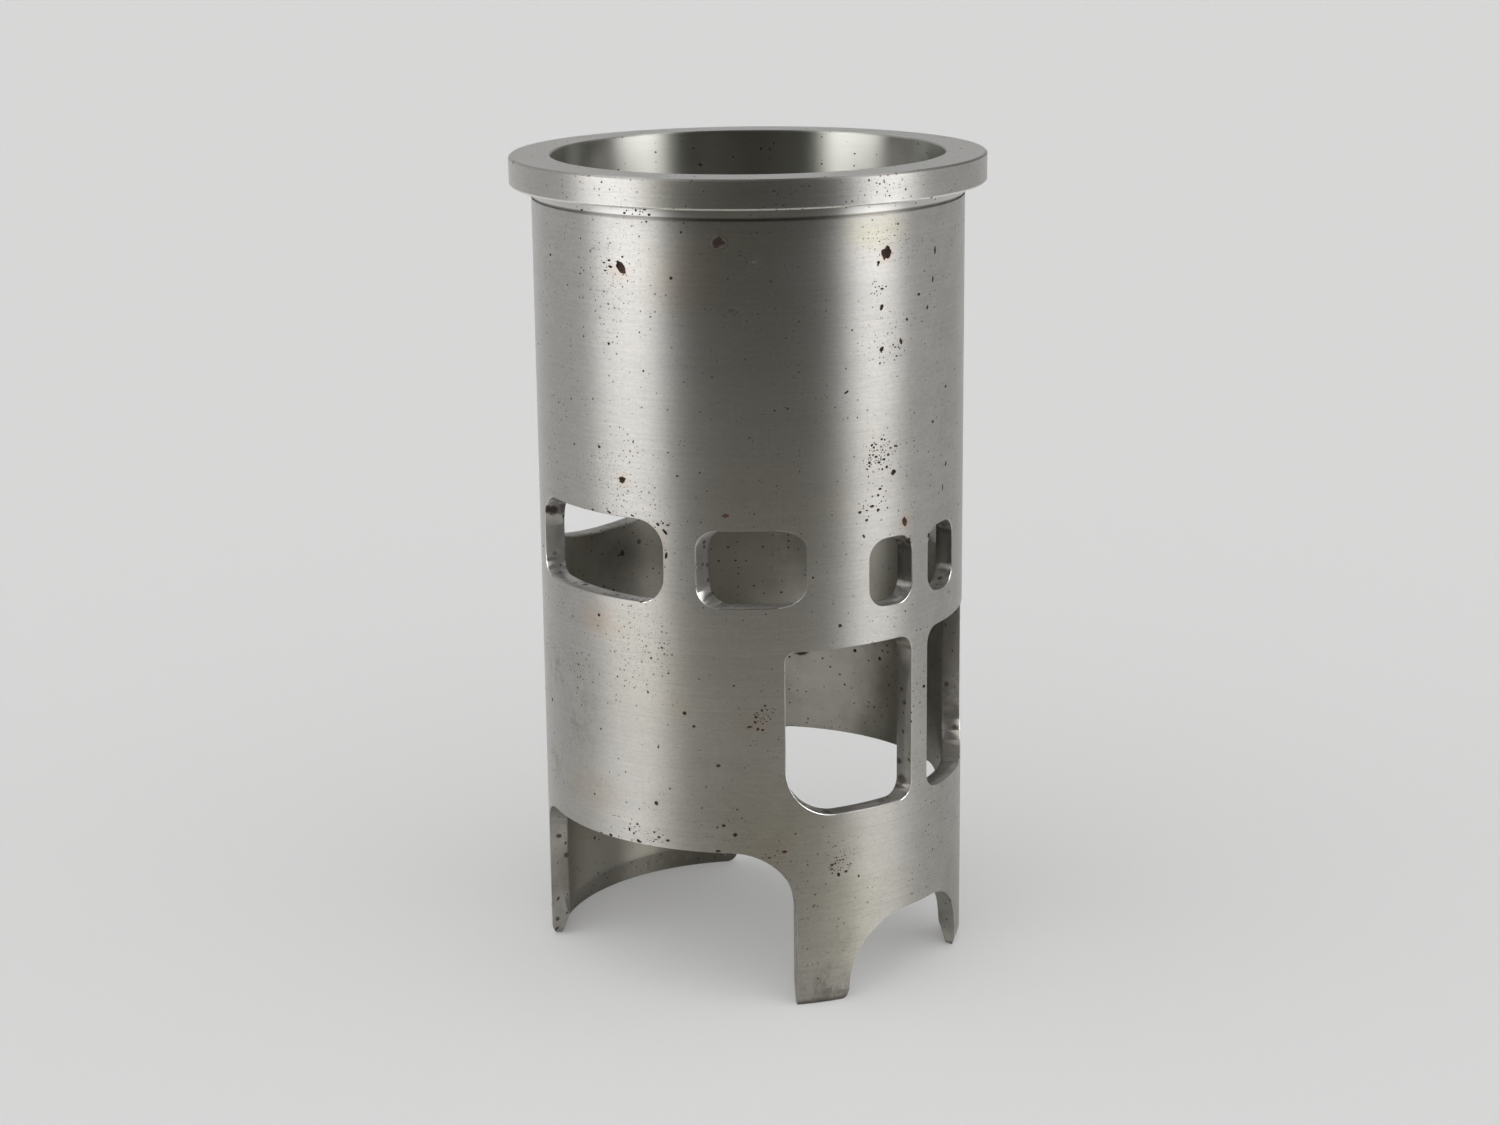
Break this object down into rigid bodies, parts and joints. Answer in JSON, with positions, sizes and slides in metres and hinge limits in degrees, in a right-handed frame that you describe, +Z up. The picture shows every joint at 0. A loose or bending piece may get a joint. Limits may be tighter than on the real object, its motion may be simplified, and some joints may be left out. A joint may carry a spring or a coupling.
{
  "type": "cylinder liner",
  "caption": "Flanged iron cylinder liner for a two-stroke engine, with a plain bore, transfer, boost, intake and exhaust windows, and a cut-away foot.",
  "frame": {"origin": "centre of the foot plane, on the bore axis", "axes": "+Z up the bore axis to the deck, -Y to the intake side, +Y to the exhaust side"},
  "size_m": [0.104, 0.104, 0.1803],
  "materials": {
    "liner_iron": "fine-turned grey iron with small rust pits and a light oil tint"
  },
  "bodies": {
    "root": {"cylinder_liner": "liner_iron"}
  },
  "joints": []
}
